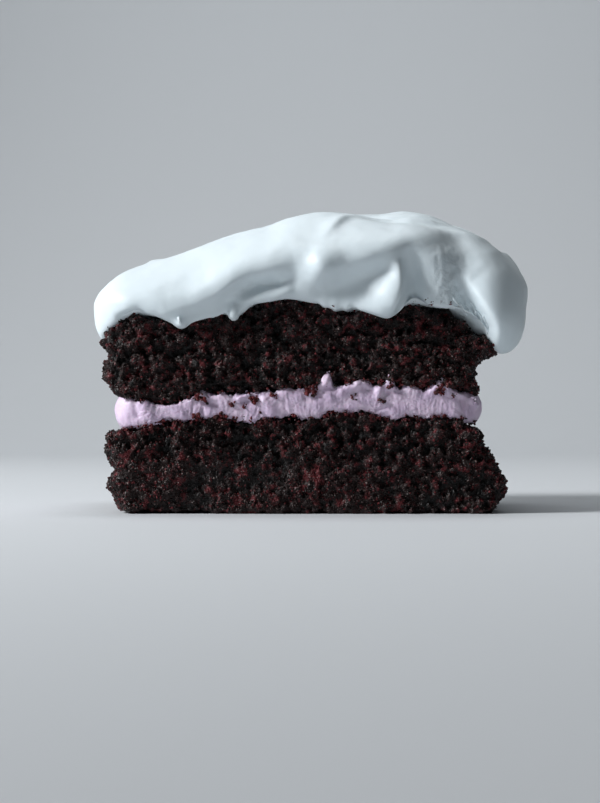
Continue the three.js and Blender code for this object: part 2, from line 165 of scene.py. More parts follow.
def strayed(tree, place, scale, detail, reach):
    """A random step from each place, of up to half this reach along each axis."""
    step = add(tree, "ShaderNodeTexNoise", {"Vector": place, "Scale": scale, "Detail": detail}, out="Color")
    step = add(tree, "ShaderNodeVectorMath", [step, (0.5,) * 3], operation="SUBTRACT")
    return add(tree, "ShaderNodeVectorMath", {0: step, "Scale": reach}, operation="SCALE")


sizes = {"Clump": 2.7 * MM, "Clump Height": 2.1 * MM, "Grain": 0.9 * MM, "Grain Height": 0.5 * MM}
sizes |= {"Swell": 9 * MM, "Swell Height": 1.1 * MM, "Pore": 2.2 * MM, "Pore Depth": 1.8 * MM, "Seed": 0.0}
crumb_tree, given, made = new_tree("sponge_crumb", sizes)
tree = crumb_tree
position = add(tree, "GeometryNodeInputPosition")
coarse = add(tree, "GeometryNodeInputNamedAttribute", ["coarse"])
start = add(tree, "ShaderNodeCombineXYZ", [given["Seed"], given["Seed"]])
moved = add(tree, "ShaderNodeVectorMath", [position, start], operation="ADD")
# the clumps and grains wander, so that their edges are torn and not straight
wander = strayed(tree, moved, 0.6 / MM, 2.0, 3 * MM)
astray = add(tree, "ShaderNodeVectorMath", [moved, wander], operation="ADD")


def heaps(name, middle, rim):
    """Rounded heaps side by side, half their height above the skin in the middle and below it at the rim."""
    scale = add(tree, "ShaderNodeMath", [1.0, given[name]], operation="DIVIDE")
    off_middle = add(tree, "ShaderNodeTexVoronoi", {"Vector": astray, "Scale": scale})
    heap = add(tree, "ShaderNodeMapRange", [off_middle, middle, rim, 0.5, -0.5], **SMOOTH)
    return add(tree, "ShaderNodeMath", [heap, given[f"{name} Height"]], operation="MULTIPLY")


def soft_spots(name, detail, *ranges):
    """Soft spots of a named size, their noise turned from its range into 0 to 1 or another one."""
    scale = add(tree, "ShaderNodeMath", [1.0, given[name]], operation="DIVIDE")
    spots = add(tree, "ShaderNodeTexNoise", {"Vector": moved, "Scale": scale, "Detail": detail})
    return add(tree, "ShaderNodeMapRange", [spots, *ranges], **SMOOTH)


clump = add(tree, "ShaderNodeMath", [heaps("Clump", 0.1, 0.95), coarse], operation="MULTIPLY")
swell = soft_spots("Swell", 1.0, 0.3, 0.7, -0.5, 0.5)
lift = add(tree, "ShaderNodeMath", [swell, given["Swell Height"], clump], operation="MULTIPLY_ADD")
lift = add(tree, "ShaderNodeMath", [lift, heaps("Grain", 0.0, 0.8)], operation="ADD")
pores = add(tree, "ShaderNodeMath", [soft_spots("Pore", 1.5, 0.55, 0.72), coarse], operation="MULTIPLY")
sunk = add(tree, "ShaderNodeMath", [pores, given["Pore Depth"]], operation="MULTIPLY")
lift = add(tree, "ShaderNodeMath", [lift, sunk], operation="SUBTRACT")
pushed = add(tree, "ShaderNodeVectorMath", [position, lifted(tree, lift)], operation="ADD")
# no crumb is pushed below the level that the slice stands on
pushed = add(tree, "ShaderNodeVectorMath", [pushed, (-1, -1, 0)], operation="MAXIMUM")
crumbly = add(tree, "GeometryNodeSetPosition", {"Geometry": given["Geometry"], "Position": pushed})
# the skin keeps how far each point lies in a hollow: fewer loose grains lie there, and the material paints it
# near black as painted shade
hollow = add(tree, "ShaderNodeMapRange", [lift, 0.1 * MM, -1 * MM], **SMOOTH)
hollow = add(tree, "ShaderNodeMath", [pores, hollow], operation="MAXIMUM")
hollow = {"Geometry": crumbly, "Name": "pore", "Value": hollow}
tree.links.new(add(tree, "GeometryNodeStoreNamedAttribute", hollow), made[0])


def copies(tree, points, shape, size, flattest, least_tone, seeds):
    """A copy of a shape at each point, turned, squashed and toned at random, as one mesh."""
    turn = {"Max": (math.tau,) * 3, "Seed": seeds[0]}
    turn = add(tree, "FunctionNodeRandomValue", turn, data_type="FLOAT_VECTOR")
    squash = {"Min": (flattest,) * 3, "Max": (1.3,) * 3, "Seed": seeds[1]}
    squash = add(tree, "FunctionNodeRandomValue", squash, data_type="FLOAT_VECTOR")
    scale = add(tree, "ShaderNodeVectorMath", {0: squash, "Scale": size}, operation="SCALE")
    tone = {"Min": least_tone, "Seed": seeds[2]}
    tone = add(tree, "FunctionNodeRandomValue", tone, out=1, data_type="FLOAT")
    points = add(tree, "GeometryNodeStoreNamedAttribute", {"Geometry": points, "Name": "tone", "Value": tone})
    placed = {"Points": points, "Instance": shape, "Rotation": turn, "Scale": scale}
    placed = add(tree, "GeometryNodeInstanceOnPoints", placed)
    return add(tree, "GeometryNodeRealizeInstances", [placed])


def end_tree(tree, mesh, given, made):
    """Ends a tree with its mesh, made smooth and coated with the given material."""
    mesh = add(tree, "GeometryNodeSetShadeSmooth", [mesh])
    coated = add(tree, "GeometryNodeSetMaterial", {"Geometry": mesh, "Material": given["Material"]})
    tree.links.new(coated, made[0])


sizes = {"Density": 1.0, "Smallest": 0.3 * MM, "Largest": 0.8 * MM, "Palest": -1.0}
sizes |= {"Foot": 1.1 * MM, "Seed": 0, "Material": chocolate}
grain_tree, given, made = new_tree("loose_grains", sizes)
tree = grain_tree
# few grains lie in the hollows, and none at the foot or where nothing is free
height = add(tree, "ShaderNodeSeparateXYZ", [add(tree, "GeometryNodeInputPosition")], out="Z")
density = add(tree, "ShaderNodeMath", [height, given["Foot"]], operation="GREATER_THAN")
free, hollow = (add(tree, "GeometryNodeInputNamedAttribute", [name]) for name in ("free", "pore"))
open_share = add(tree, "ShaderNodeMath", [hollow, -0.9, 1.0], operation="MULTIPLY_ADD")
for factor in (free, open_share, given["Density"]):
    density = add(tree, "ShaderNodeMath", [density, factor], operation="MULTIPLY")
points = {"Mesh": given["Geometry"], "Density": density, "Seed": given["Seed"]}
points = add(tree, "GeometryNodeDistributePointsOnFaces", points)
# most grains are small, and each is an angular lump with dents
size = add(tree, "FunctionNodeRandomValue", {"Seed": 8}, out=1, data_type="FLOAT")
size = add(tree, "ShaderNodeMath", [size, 2.2], operation="POWER")
span = add(tree, "ShaderNodeMath", [given["Largest"], given["Smallest"]], operation="SUBTRACT")
size = add(tree, "ShaderNodeMath", [size, span, given["Smallest"]], operation="MULTIPLY_ADD")
lump = add(tree, "GeometryNodeMeshUVSphere", {"Segments": 4, "Rings": 2, "Radius": 0.5})
grains = copies(tree, points, lump, size, flattest=0.7, least_tone=given["Palest"], seeds=(3, 5, 21))
dents = strayed(tree, add(tree, "GeometryNodeInputPosition"), 3 / MM, 1.0, 0.5 * MM)
grains = add(tree, "GeometryNodeSetPosition", {"Geometry": grains, "Offset": dents})
end_tree(tree, grains, given, made)


def curve(at, *knots):
    """The height at each place of a smooth line through the knots, each a place and a height."""
    places, heights = np.array(knots, float).T
    slopes = np.gradient(heights, places)
    low = np.clip(np.searchsorted(places, at) - 1, 0, len(places) - 2)
    span = places[low + 1] - places[low]
    t = np.clip((at - places[low]) / span, 0, 1)
    from_low = (1 + 2 * t) * (1 - t) ** 2 * heights[low] + t * (1 - t) ** 2 * span * slopes[low]
    from_high = t * t * (3 - 2 * t) * heights[low + 1] - t * t * (1 - t) * span * slopes[low + 1]
    return from_low + from_high


def ease(at, start, end):
    """0 before the start, 1 after the end, and a smooth rise between them."""
    t = np.clip((at - start) / (end - start), 0, 1)
    return t * t * (3 - 2 * t)


class Outline:
    """Even points round an upright rounded rectangle as deep as the slice, and the way each one faces.

    They start at the middle of the right end and run towards the back.
    """

    def __init__(self, left, right, corner, columns):
        self.left, self.right, self.columns = left, right, columns
        ahead, inner = right - corner, HALF_DEPTH - corner
        behind = left + corner
        middles = [(ahead, inner), (behind, inner), (behind, -inner), (ahead, -inner)]
        turn = np.linspace(0, math.pi / 2, 40)
        turns = [turn + i * math.pi / 2 for i in range(4)]
        x = [right, *[x + corner * np.cos(turn) for turn, (x, _) in zip(turns, middles)], right]
        y = [0, *[y + corner * np.sin(turn) for turn, (_, y) in zip(turns, middles)], 0]
        x, y, facing = np.hstack(x), np.hstack(y), np.hstack([0, *turns, math.tau])
        along = np.hstack([0, np.cumsum(np.hypot(np.diff(x), np.diff(y)))])
        even = np.arange(columns) * along[-1] / columns
        self.x, self.y = np.interp(even, along, x), np.interp(even, along, y)
        facing = np.interp(even, along, facing)
        self.out_x, self.out_y = np.cos(facing), np.sin(facing)

    def by_side(self, front, back, left, right):
        """A value for each point, blended from those of the four sides."""
        ends = self.out_x**2 * np.where(self.out_x > 0, right, left)
        return ends + self.out_y**2 * np.where(self.out_y > 0, back, front)

    def moved(self, distance):
        """The points moved out, or by a negative distance in towards the line down the slice's middle."""
        spine = np.clip(self.x, self.left + HALF_DEPTH, self.right - HALF_DEPTH)
        out, share = np.maximum(distance, 0), np.maximum(-distance, 0) / HALF_DEPTH
        x = self.x + self.out_x * out + (spine - self.x) * share
        return x, self.y + self.out_y * out - self.y * share


def in_scene(name, data):
    """A new object of the scene, which holds this mesh, lens or lamp."""
    made = bpy.data.objects.new(name, data)
    bpy.context.scene.collection.objects.link(made)
    return made


def drawn(name, points, edges=(), faces=(), **values):
    """A new piece through these points, in millimetres, which keeps the named values of each point."""
    mesh = bpy.data.meshes.new(name)
    mesh.from_pydata((np.array(points) * MM + MIDDLE).tolist(), edges, faces)
    for label, value in values.items():
        kept = mesh.attributes.new(label, "FLOAT", "POINT").data
        kept.foreach_set("value", np.ravel(value).astype(np.float32))
    return in_scene(name, mesh)


def skin(name, rows, **values):
    """A closed mesh whose skin runs through these rings of points, in millimetres, from its underside up."""
    rows = np.array(rows)
    count, columns = rows.shape[:2]
    ring = np.arange(columns)
    after = (ring + 1) % columns
    wall = np.stack([ring, after, after + columns, ring + columns], 1)
    walls = np.concatenate([wall + i * columns for i in range(count - 1)])
    # the lids are rungs from front to back, and one face over each rounded end
    end = columns // 8
    near = ring[end : columns // 2 - end]
    rungs = np.stack([near, near + 1, columns - near - 1, columns - near], 1)
    ends = [np.roll(ring, end)[: 2 * end + 1], ring[columns // 2 - end : columns // 2 + end + 1]]
    upper = [face + (count - 1) * columns for face in (*rungs, *ends)]
    under = [face[::-1] for face in (*rungs, *ends)]
    faces = [face.tolist() for face in (*walls, *upper, *under)]
    piece = drawn(name, rows.reshape(-1, 3), faces=faces, **values)
    piece.data.shade_smooth()
    return piece


END_LENGTH = 14  # of the stretch at each end that draws in
WALL_ROWS = 62  # of points between its two rims
RIM_HEIGHT = 1  # of its rounded lower and upper edge
RIM = [(6.0, 0.0), (3.6, 0.0), (2.4, 0.0), (1.5, 0.05), (0.8, 0.25), (0.3, 0.6)]  # how far in, and how far up
# only the fine grains reach the pale tones that are painted as glints
GRAINS = {
    "grains": {"Density": 1.95 / MM**2, "Smallest": 0.45 * MM, "Largest": 0.95 * MM, "Palest": -0.5},
    "fine_grains": {"Density": 1.95 / MM**2, "Smallest": 0.28 * MM, "Largest": 0.6 * MM},
}


def sponge(name, left, right, left_inset, right_inset, bottom, top, coarse, seed):
    """A layer of sponge, its ends drawn in by height, between a bottom and a top that vary along it."""
    wall = Outline(left, right, corner=4, columns=1000)
    low, high = curve(wall.x, *bottom), curve(wall.x, *top)
    at_left = ease(-wall.x, -left - END_LENGTH, -left)
    at_right = ease(wall.x, right - END_LENGTH, right)
    steps = [(inset, low + rise) for inset, rise in RIM]
    wall_height = high - low - 2 * RIM_HEIGHT
    steps += [(0.0, low + RIM_HEIGHT + wall_height * share) for share in np.linspace(0, 1, WALL_ROWS)]
    steps += [(inset, high - drop) for inset, drop in RIM[::-1]]
    rows = []
    for inset, z in steps:
        x, y = wall.moved(np.full(wall.columns, -inset))
        x = x + curve(z, *left_inset) * at_left - curve(z, *right_inset) * at_right
        rows.append(np.stack([x, y, z], 1))
    rows = np.array(rows)
    # no grain is loose under it, and on top of it only those at its ends are
    free = np.ones(rows.shape[:2])
    free[:3] = 0
    free[-3:] = wall.out_x**2
    layer = grown(skin(name, rows, coarse=coarse(rows), free=free), crumb_tree, {"Seed": seed})
    pieces = [layer]
    for kind, values in GRAINS.items():
        grains = in_scene(f"{name}_{kind}", layer.data.copy())
        pieces.append(grown(grains, grain_tree, values | {"Seed": int(seed * 100) + len(pieces)}))
    layer.data.materials.append(chocolate)
    for piece in pieces:
        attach(piece, "root")
    return layer


# a place along the slice, and the height of the sponge there
LOWER_TOP = [(-50, 20), (-40, 22.3), (-27, 23.6), (-2, 23.8), (10, 25.2), (22, 23.6), (38, 24.2), (50, 20.5)]
UPPER_BOTTOM = [(-50, 30), (-38, 27.8), (-24, 29.8), (0, 31.8), (14, 32.8), (30, 31.8), (48, 30)]
UPPER_TOP = [
    (-50, 50), (-22, 50.8), (-16, 51.6), (-12, 53), (-2, 53.7), (6, 51.8), (14, 51.2), (26, 52.2), (37, 52),
    (42, 49.5), (49, 46),
]
lower_layer = sponge(
    "lower_layer",
    left=-50,
    right=50.1,
    left_inset=[(0, 3.4), (1.2, 2.6), (3.8, 1.6), (8, 0), (10.7, 1.5), (13.2, 0.4), (20, 0.4)],
    right_inset=[(0, 2), (2.5, 1.6), (5.7, 0), (10.8, 1.6), (13.3, 3), (17, 5.6), (19, 6.4), (21.7, 4.8)],
    bottom=[(-50, 0), (50, 0)],
    top=LOWER_TOP,
    # its foot was pressed on the tin, so its crumb is closer there, and closest at the left
    coarse=lambda p: 0.35 + 0.65 * np.clip(ease(p[..., 2], 10, 19) + 0.6 * ease(p[..., 0], -25, 35), 0, 1),
    seed=0.3,
)
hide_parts("sponge_lower")
upper_layer = sponge(
    "upper_layer",
    left=-50.8,
    right=48.4,
    left_inset=[(28.5, 4.6), (31, 2.4), (34.5, 0.4), (36.8, 0.2), (40, 1.1), (43.2, 0.2), (48, 2)],
    right_inset=[(31, 5), (35, 5.6), (38.3, 5.4), (40, 2.6), (41.7, 0.2), (44.7, 2.4), (47.7, 6), (50, 9)],
    bottom=UPPER_BOTTOM,
    top=UPPER_TOP,
    coarse=lambda p: np.ones(p.shape[:2]),
    seed=0.7,
)
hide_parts("sponge_upper")

# ----------------------------------------------------------------------------
# Cream
#
# A band of soft lilac cream between the layers. The knife has dragged it on
# the cut faces and pulled it up over the sponge here and there, and it bulges
# smoothly at the two ends.

lilac, tree, shader, place = material("lilac_cream")
# pale pinkish-lilac whipped cream, satin, with light that sinks in a little
tint = add(tree, "ShaderNodeTexNoise", {"Vector": place, "Scale": 0.22 / MM, "Detail": 3.0})
tint = add(tree, "ShaderNodeMapRange", [tint, 0.35, 0.65], **SMOOTH)
colour = {0: tint, 6: shade("#E5D0E6"), 7: shade("#D4BED9")}
colour = add(tree, "ShaderNodeMix", colour, out=2, data_type="RGBA")
fine = add(tree, "ShaderNodeTexNoise", {"Vector": place, "Scale": 1.5 / MM, "Detail": 3.0})
bump = add(tree, "ShaderNodeBump", {"Height": fine, "Strength": 0.25, "Distance": 0.2 * MM})
fill(shader, {"Base Color": colour, "Roughness": 0.48, "Normal": bump, "Subsurface Weight": 0.25})
fill(shader, {"Subsurface Radius": (1.0, 0.7, 0.8), "Subsurface Scale": 1.2 * MM})

# a place along the slice, and the height of the cream's edge there
CREAM_LOW = [
    (-48, 21.2), (-45, 21.4), (-42.6, 21.8), (-38.1, 22.3), (-36.2, 23.2), (-30, 23.3), (-25, 23.6),
    (-21.5, 23.9), (-18.4, 23.5), (-14.2, 22.5), (-8.8, 23.6), (-3, 24.2), (0.4, 23.3), (2, 23.2),
    (5.2, 25), (11, 25.3), (18, 25.1), (22.4, 23.4), (25.9, 24.7), (31, 23.6), (34.6, 24.3), (40, 22.6),
    (45, 23),
]
CREAM_HIGH = [
    (-48, 29.5), (-43.9, 29.1), (-41.6, 28.6), (-37.5, 27.3), (-35.9, 26.9), (-32.4, 27.7), (-27.9, 29.8),
    (-26, 31), (-23.8, 29.6), (-21.2, 30), (-17, 29.2), (-13.6, 30.4), (-9, 30.3), (-5, 31.7), (0.4, 31.2),
    (1.5, 32.9), (2.4, 32.1), (3.4, 32.8), (4.3, 33.5), (5.3, 34.7), (6.1, 34.2), (6.9, 32.3), (9, 32),
    (12.5, 33.3), (14.8, 33.8), (16.5, 32.4), (19, 31.9), (21.5, 33.6), (23, 31.4), (25.5, 32.6),
    (30, 31.3), (32.5, 33), (34.2, 33.3), (36.5, 31.4), (39, 30.7), (45, 29),
]


def facing(points):
    """The way each point of a skin faces."""
    across = np.roll(points, -1, 1) - np.roll(points, 1, 1)
    out = np.cross(across, np.gradient(points, axis=0))
    return out / np.maximum(np.linalg.norm(out, axis=-1, keepdims=True), 1e-9)


def nearest(points, axes, place):
    """The point that is nearest to a place, which is given on two axes."""
    return points[np.argmin(((points[:, axes] - place) ** 2).sum(1))]


# A stroke is a path of knots: where it is, how far it pushes the skin out, and
# how wide it is to its left and to its right, or once for both. A knot on the
# front or back is at an X and a Z, on top at an X and a Y, at an end at a Y
# and a Z. Each side has these two axes, and the points that belong to it.
SIDES = {
    "front": ((0, 2), lambda p: p[..., 1] < -14),
    "back": ((0, 2), lambda p: p[..., 1] > 14),
    "top": ((0, 1), lambda p: p[..., 2] > 60),
    "right": ((1, 2), lambda p: p[..., 0] > 44),
    "left": ((1, 2), lambda p: p[..., 0] < -44),
}
STEPS = 4  # from one knot to the next along the smooth path through them
THROUGH = 8  # how far under or over the skin a stroke still reaches


def pressed(points, out, side, knots):
    """How far one stroke pushes each point of a skin out."""
    axes, belongs = SIDES[side]
    near = points[belongs(points)]
    spots = [nearest(near, axes, knot[:2]) for knot in knots]
    path = np.hstack([spots, [(*knot[2:], knot[-1])[:3] for knot in knots]])
    reached = np.hstack([0, np.cumsum(np.linalg.norm(np.diff(spots, axis=0), axis=1))])
    steps = np.linspace(0, reached[-1], STEPS * (len(knots) - 1) + 1)
    path = np.stack([curve(steps, *zip(reached, values)) for values in path.T], 1)
    ahead = np.gradient(path[:, :3], axis=0)
    lift, closest = np.zeros(points.shape[:2]), np.full(points.shape[:2], np.inf)
    for i, (first, second) in enumerate(zip(path, path[1:])):
        along = second[:3] - first[:3]
        share = np.clip((points - first[:3]) @ along / (along @ along), 0, 1)
        away = points - (first[:3] + share[..., None] * along)
        gap = np.linalg.norm(away, axis=-1)
        depth = (away * out).sum(-1)
        away = away - depth[..., None] * out
        distance = np.maximum(np.linalg.norm(away, axis=-1), 1e-6)
        heading = ahead[i] + share[..., None] * (ahead[i + 1] - ahead[i])
        leftward = (away * np.cross(out, heading)).sum(-1) / distance / np.linalg.norm(heading, axis=-1)
        height, left, right = (first[n] + (second[n] - first[n]) * share for n in (3, 4, 5))
        width = right + (left - right) * (leftward + 1) / 2
        here = height * np.exp(-((distance / width) ** 2) - (depth / THROUGH) ** 2)
        lift = np.where(gap < closest, here, lift)
        closest = np.minimum(gap, closest)
    return lift


# the knife's marks on the front of the cream: dents, pillows and lumps
DRAGS = [
    [(-47, 27, 0.6, 3), (-45.5, 24, 0.5, 3)],
    [(-42.8, 28.6, -0.5, 0.8, 0.7), (-42.3, 24.5, -0.4, 0.8, 0.7)],
    [(-40.2, 27.8, 0.5, 1.6), (-39.4, 24.2, 0.4, 1.8)],
    [(-34, 26.8, 0.3, 1), (-31, 25, 0.4, 1.2)],
    [(-27.5, 28.4, -0.5, 1), (-22.5, 27.4, -0.5, 0.8)],
    [(-25.8, 26.4, -0.5, 0.4), (-25.6, 24, -0.4, 0.5)],
    [(-22.6, 29.4, 0.4, 1), (-19.8, 28.2, 0.4, 1.1)],
    [(-15.5, 28.2, -0.6, 1.2), (-12, 29, -0.5, 1)],
    [(-16.6, 28.8, 0.6, 0.7), (-14.4, 29.4, 0.6, 0.7)],
    [(-10.4, 28, 0.5, 1.2), (-8, 25, 0.3, 1.4)],
    [(0, 29, -0.4, 0.9), (3, 29.8, -0.5, 1)],
    [(3.4, 32.4, 0.8, 0.9), (4.4, 33, 1, 0.9), (5.6, 34.4, 0.8, 0.8)],
    [(1.8, 31, -0.6, 0.6, 0.8), (6.6, 31.4, -0.7, 0.6, 0.8)],
    [(5.2, 30, 0.5, 0.7), (6.2, 29.2, 0.4, 0.8)],
    [(9, 31, 0.6, 1.2), (12.6, 32.4, 0.8, 1.2)],
    [(14.5, 31.6, -0.5, 1), (16.6, 30.8, -0.5, 1)],
    [(18, 28.9, 0.4, 1), (18.4, 31, 0.6, 1), (20.9, 33, 0.7, 0.9)],
    [(20.3, 30.6, -0.6, 0.8), (23.6, 30.6, -0.5, 0.8)],
    [(23.8, 31, 0.3, 0.8), (27.5, 30.6, 0.4, 1.2)],
    [(17.5, 25.9, -0.4, 0.4, 0.5), (21, 26.8, -0.3, 0.4, 0.5)],
    [(36.2, 31, 0.5, 0.8), (38.6, 29.6, 0.5, 0.8)],
    [(39.2, 28.6, -0.6, 0.8), (39.4, 24.6, -0.5, 0.8)],
    [(41.4, 28.4, 0.7, 0.8), (42.6, 27.2, 0.9, 0.9)],
]
CREAM_ROWS = 72
WIDEST_GAP = 0.6  # between its edges and the sponge
wall = Outline(-46.6, 43, corner=7, columns=1300)
sponge_top, sponge_foot = curve(wall.x, *LOWER_TOP), curve(wall.x, *UPPER_BOTTOM)
low = wall.by_side(curve(wall.x, *CREAM_LOW), curve(-wall.x, *CREAM_LOW), 21.4, 22.8)
high = wall.by_side(curve(wall.x, *CREAM_HIGH), curve(-wall.x, *CREAM_HIGH), 29.6, 30.4)
low, high = np.minimum(low, sponge_top + WIDEST_GAP), np.maximum(high, sponge_foot - WIDEST_GAP)
on_face = wall.by_side(1, 1, 0, 0)
# its edges lie behind the sponge's face, and it stands proud most where it is smeared up
smeared = np.clip((high - sponge_foot) / 1.2, 0, 1)
rows = []
for share in np.linspace(0, 1, CREAM_ROWS):
    rim = 1 - abs(2 * share - 1) ** 7
    dragged = -1.2 + rim * (1.55 + 0.65 * smeared * ease(share, 0.6, 0.9))
    bulge = 1.6 * math.sin(math.pi * share) ** 0.7
    x, y = wall.moved(on_face * dragged + (1 - on_face) * bulge)
    rows.append(np.stack([x, y, low + (high - low) * share], 1))
band = np.array(rows)
out = facing(band)
band = band + out * sum(pressed(band, out, "front", knots) for knots in DRAGS)[..., None]
on_faces = np.broadcast_to(on_face, band.shape[:2])
edges = np.linspace(-1, 1, CREAM_ROWS)[:, None] ** 5 * on_faces


def unevenness(tree, place, scale, detail):
    """Soft noise about zero."""
    noise = add(tree, "ShaderNodeTexNoise", {"Vector": place, "Scale": scale, "Detail": detail})
    return add(tree, "ShaderNodeMath", [noise, 0.5], operation="SUBTRACT")


def waves(tree, place, given, name, detail):
    """Soft waves of a named size and height."""
    scale = add(tree, "ShaderNodeMath", [1.0, given[name]], operation="DIVIDE")
    wave = unevenness(tree, place, scale, detail)
    return add(tree, "ShaderNodeMath", [wave, given[f"{name} Height"]], operation="MULTIPLY")


sizes = {"Streak": 0.7 * MM, "Streak Length": 3 * MM, "Streak Height": 0.4 * MM, "Lump": 4.5 * MM}
sizes |= {"Lump Height": 0.8 * MM, "Pit Depth": 0.12 * MM, "Ragged": 3.6 * MM}
drag_tree, given, made = new_tree("knife_drag", sizes)
tree = drag_tree
position = add(tree, "GeometryNodeInputPosition")
parts = add(tree, "ShaderNodeSeparateXYZ", [position]).node.outputs
on_face = add(tree, "GeometryNodeInputNamedAttribute", ["on_face"])
# upright streaks on the cut faces, which lean a little
lean = unevenness(tree, position, 0.09 / MM, 1.0)
across = add(tree, "ShaderNodeMath", [lean, 6 * MM, parts["X"]], operation="MULTIPLY_ADD")
across = add(tree, "ShaderNodeMath", [across, given["Streak"]], operation="DIVIDE")
inwards = add(tree, "ShaderNodeMath", [parts["Y"], 0.2 / MM], operation="MULTIPLY")
down = add(tree, "ShaderNodeMath", [parts["Z"], given["Streak Length"]], operation="DIVIDE")
streaks = unevenness(tree, add(tree, "ShaderNodeCombineXYZ", [across, inwards, down]), 1.0, 2.0)
for factor in (given["Streak Height"], on_face):
    streaks = add(tree, "ShaderNodeMath", [streaks, factor], operation="MULTIPLY")
# lumps all round, and small pits on the cut faces
lumps = waves(tree, position, given, "Lump", 2.0)
pits = add(tree, "ShaderNodeMapRange", [unevenness(tree, position, 1.5 / MM, 2.0), 0.02, 0.22], **SMOOTH)
for factor in (given["Pit Depth"], on_face):
    pits = add(tree, "ShaderNodeMath", [pits, factor], operation="MULTIPLY")
lumps = add(tree, "ShaderNodeMath", [lumps, pits], operation="SUBTRACT")
lift = add(tree, "ShaderNodeMath", [streaks, lumps], operation="ADD")
# and ragged edges against the sponge
torn = unevenness(tree, position, 0.7 / MM, 3.0)
for factor in (given["Ragged"], add(tree, "GeometryNodeInputNamedAttribute", ["edge"])):
    torn = add(tree, "ShaderNodeMath", [torn, factor], operation="MULTIPLY")
torn = add(tree, "ShaderNodeCombineXYZ", {"Z": torn})
moved = add(tree, "ShaderNodeVectorMath", [lifted(tree, lift), torn], operation="ADD")
dragged = add(tree, "GeometryNodeSetPosition", {"Geometry": given["Geometry"], "Offset": moved})
tree.links.new(dragged, made[0])

cream = grown(skin("cream", band, on_face=on_faces, edge=edges), drag_tree, {})
cream.data.materials.append(lilac)
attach(cream, "root")
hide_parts("lilac_cream")

# ----------------------------------------------------------------------------
# Crumbs
#
# Crumbs of the sponge that the knife has dragged into the cream, and loose
# ones along the edges of the layers, each a cluster of grains, and bits of
# cream that have torn loose beside them.

lump_tree, given, made = new_tree("crumbs", {"Crag Height": 0.56 * MM, "Fineness": 1, "Material": chocolate})
tree = lump_tree
ball = add(tree, "GeometryNodeMeshIcoSphere", {"Radius": 0.5, "Subdivisions": given["Fineness"]})
size = add(tree, "GeometryNodeInputNamedAttribute", ["size"])
points = add(tree, "GeometryNodeMeshToPoints", {"Mesh": given["Geometry"]})
lumps = copies(tree, points, ball, size, flattest=0.75, least_tone=0.6, seeds=(4, 6, 2))
position = add(tree, "GeometryNodeInputPosition")
off_middle = add(tree, "ShaderNodeTexVoronoi", {"Vector": position, "Scale": 1.5 / MM})
crag = add(tree, "ShaderNodeMath", [0.4, off_middle], operation="SUBTRACT")
crag = [crag, 0.9, unevenness(tree, position, 0.9 / MM, 2.0)]
crag = add(tree, "ShaderNodeMath", crag, operation="MULTIPLY_ADD")
crag = add(tree, "ShaderNodeMath", [crag, given["Crag Height"]], operation="MULTIPLY")
rugged = add(tree, "GeometryNodeSetPosition", {"Geometry": lumps, "Offset": lifted(tree, crag)})
end_tree(tree, rugged, given, made)

# each crumb in the front of the cream: X, Z and its size
IN_CREAM = [
    (-25, 31.4, 1.7), (-26.6, 29.6, 2), (-25.2, 29, 2.2), (-27.4, 28.6, 1.3), (-18.4, 27.3, 1.7),
    (-13.4, 29, 2.2), (-12.6, 28, 1.7), (-15.5, 26.9, 1.2), (-8.5, 29.4, 1.8), (-7.8, 29.2, 1.3),
    (-11.3, 25.4, 0.9), (-27.6, 24.4, 2.1), (-21.8, 24.2, 2.6), (-20.6, 24.5, 1.8), (-3, 24.5, 1.7),
    (1.2, 31.2, 2.6), (0.4, 30.6, 1.8), (2.2, 30.4, 2), (2, 29.5, 1.4), (11.7, 29.1, 1.8),
    (18.6, 28.3, 1.8), (15.7, 34, 2.3), (14.6, 33.4, 1.3), (20.9, 31.9, 1.6), (33.4, 31.8, 2),
    (33, 30.8, 2.1), (33.8, 30.2, 1.6), (36.8, 29.5, 1.3), (26.9, 24.6, 1.6), (9, 25.3, 1.4),
    (5.4, 24.4, 2.1), (7, 24.7, 1.8), (-36, 23.6, 1.3), (-33.6, 23.6, 1.4), (34.8, 24.2, 1.3),
]
EDGE_CRUMBS = 130  # all the way round each edge of the cream
LOOSE_BITS = 60  # of cream, all the way round
chance = np.random.default_rng(7)
front, back = band[band[..., 1] < -20], band[band[..., 1] > 20]
crumbs = [(*nearest(front, (0, 2), (x, z)), size) for x, z, size in IN_CREAM]
crumbs += [(*nearest(back, (0, 2), (-x, z)), size) for x, z, size in IN_CREAM[::2]]
x, y = wall.moved(np.full(wall.columns, 0.1))
for edge_line in (sponge_top, sponge_foot + 0.2):
    for at in chance.integers(0, wall.columns, EDGE_CRUMBS):
        crumbs.append((x[at], y[at], edge_line[at], chance.uniform(0.5, 1.5)))


def crumbs_at(name, places, grain_count=8, fineness=1, finish=chocolate):
    """A piece of crumbs, each a cluster of grains round a point in millimetres and as wide as its size."""
    grains = []
    for *point, size in places:
        for _ in range(round(1 + grain_count * size)):
            grains.append((*(point + chance.normal(0, 0.25 * size, 3)), size * chance.uniform(0.25, 0.55)))
    grains = np.array(grains)
    piece = drawn(name, grains[:, :3], size=grains[:, 3] * MM)
    grown(piece, lump_tree, {"Fineness": fineness, "Material": finish})
    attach(piece, "root")


crumbs_at("stray_crumbs", crumbs)

